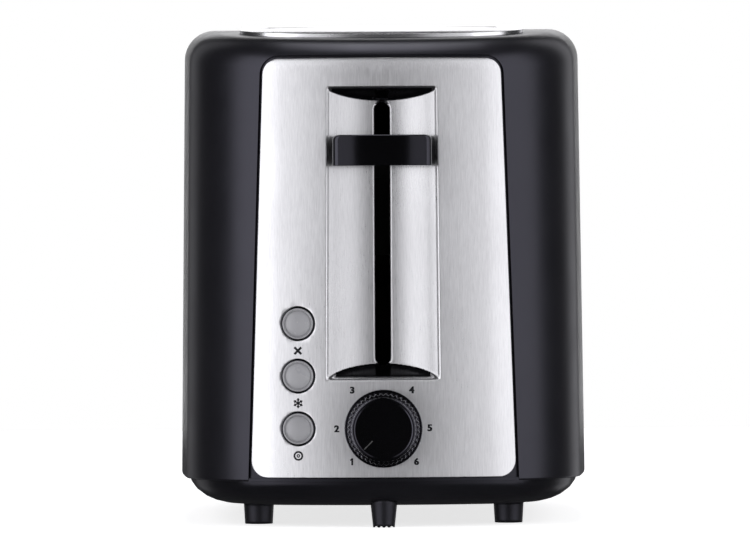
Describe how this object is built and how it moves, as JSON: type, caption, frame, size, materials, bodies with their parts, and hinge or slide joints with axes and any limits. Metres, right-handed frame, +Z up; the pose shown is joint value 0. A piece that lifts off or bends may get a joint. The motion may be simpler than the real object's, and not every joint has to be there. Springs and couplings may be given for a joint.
{
  "type": "pop up toaster",
  "caption": "Two-slot pop up toaster with a black domed housing, steel end panel, side-by-side slots, lift lever, browning dial and round push buttons.",
  "frame": {"origin": "on the floor plane under the middle of the overall width and length", "axes": "+X to the right when facing the controls, +Y from the control end to the rear, +Z up"},
  "size_m": [0.1716, 0.306, 0.2077],
  "materials": {
    "shell_plastic": "smooth satin-gloss black moulding",
    "trim_plastic": "fine-textured black moulding",
    "panel_steel": "fine brushed stainless steel sheet",
    "control_plastic": "polished black moulding",
    "button_plastic": "satin silver-grey moulding",
    "plated_steel": "bright plated steel",
    "sheet_steel": "plain galvanised sheet",
    "mica": "pale mica sheet",
    "heater_alloy": "dull resistance alloy ribbon",
    "inner_nylon": "dark moulded nylon",
    "circuit_board": "green resin board",
    "copper": "copper winding and leaf",
    "lead_sleeve": "woven heat-proof sleeve",
    "foot_rubber": "matt black rubber"
  },
  "bodies": {
    "housing": {"outer_shell": "shell_plastic", "front_frame": "trim_plastic", "front_panel": "panel_steel", "rear_cover": "trim_plastic", "top_plate": "panel_steel", "base_pan": "trim_plastic", "foot_front_left": "foot_rubber", "foot_front_right": "foot_rubber", "foot_rear_left": "foot_rubber", "foot_rear_right": "foot_rubber", "centre_foot": "foot_rubber", "browning_pot": "inner_nylon", "button_bezels": "control_plastic", "button_switches": "inner_nylon", "control_board": "circuit_board", "board_screws": "plated_steel", "mechanism_bracket": "sheet_steel", "guide_rods": "plated_steel", "lift_spring": "plated_steel", "magnet_core": "plated_steel", "magnet_coil": "copper", "power_board": "circuit_board", "power_relay": "inner_nylon", "switch_contacts": "copper", "front_bulkhead": "sheet_steel", "rear_bulkhead": "sheet_steel", "side_liner_left": "sheet_steel", "side_liner_right": "sheet_steel", "cord_bush": "trim_plastic", "terminal_block": "inner_nylon", "wiring": "lead_sleeve", "base_screws": "plated_steel", "heater_board_1": "mica", "heater_board_2": "mica", "heater_board_3": "mica", "heater_board_4": "mica", "heater_wire_1": "heater_alloy", "heater_wire_2": "heater_alloy", "heater_wire_3": "heater_alloy", "heater_wire_4": "heater_alloy"},
    "lift": {"lever_knob": "control_plastic", "lever_arm": "plated_steel", "carriage": "inner_nylon", "latch_plate": "plated_steel", "bread_rack_left": "plated_steel", "bread_rack_right": "plated_steel"},
    "browning_dial": {"browning_knob": "control_plastic", "knob_shaft": "plated_steel"},
    "tray": {"crumb_tray": "sheet_steel", "tray_handle": "trim_plastic"},
    "cancel": {"button_cancel": "button_plastic"},
    "frozen": {"button_frozen": "button_plastic"},
    "bagel": {"button_bagel": "button_plastic"},
    "guide_1": {"bread_guide_1": "plated_steel"},
    "guide_2": {"bread_guide_2": "plated_steel"},
    "guide_3": {"bread_guide_3": "plated_steel"},
    "guide_4": {"bread_guide_4": "plated_steel"}
  },
  "joints": [
    {"name": "lever_slide", "type": "slide", "parent": "housing", "child": "lift", "axis": [0, 0, 1], "range_m": [-0.078, 0.012], "stiffness_N_per_m": 100, "springref_m": 0.012, "deforming": ["lift_spring"]},
    {"name": "browning_turn", "type": "hinge", "parent": "housing", "child": "browning_dial", "pos_m": [0, -0.136, 0.0403], "axis": [0, 1, 0], "range_deg": [0, 270]},
    {"name": "tray_slide", "type": "slide", "parent": "housing", "child": "tray", "axis": [0, 1, 0], "range_m": [0, 0.25]},
    {"name": "cancel_press", "type": "slide", "parent": "housing", "child": "cancel", "axis": [0, 1, 0], "range_m": [0, 0.0012], "stiffness_N_per_m": 400},
    {"name": "frozen_press", "type": "slide", "parent": "housing", "child": "frozen", "axis": [0, 1, 0], "range_m": [0, 0.0012], "stiffness_N_per_m": 400},
    {"name": "bagel_press", "type": "slide", "parent": "housing", "child": "bagel", "axis": [0, 1, 0], "range_m": [0, 0.0012], "stiffness_N_per_m": 400},
    {"name": "guide_1_tilt", "type": "hinge", "parent": "housing", "child": "guide_1", "pos_m": [-0.049, 0.009, 0.036], "axis": [0, 1, 0], "range_deg": [-0.5, 3.05]},
    {"name": "guide_2_tilt", "type": "hinge", "parent": "housing", "child": "guide_2", "pos_m": [-0.011, 0.009, 0.036], "axis": [0, 1, 0], "range_deg": [-3.05, 0.5]},
    {"name": "guide_3_tilt", "type": "hinge", "parent": "housing", "child": "guide_3", "pos_m": [0.011, 0.009, 0.036], "axis": [0, 1, 0], "range_deg": [-0.5, 3.05]},
    {"name": "guide_4_tilt", "type": "hinge", "parent": "housing", "child": "guide_4", "pos_m": [0.049, 0.009, 0.036], "axis": [0, 1, 0], "range_deg": [-3.05, 0.5]}
  ],
  "couplings": [
    {"joint": "guide_1_tilt", "follows": "lever_slide", "rad_per_m": -0.67},
    {"joint": "guide_2_tilt", "follows": "lever_slide", "rad_per_m": 0.67},
    {"joint": "guide_3_tilt", "follows": "lever_slide", "rad_per_m": -0.67},
    {"joint": "guide_4_tilt", "follows": "lever_slide", "rad_per_m": 0.67}
  ]
}
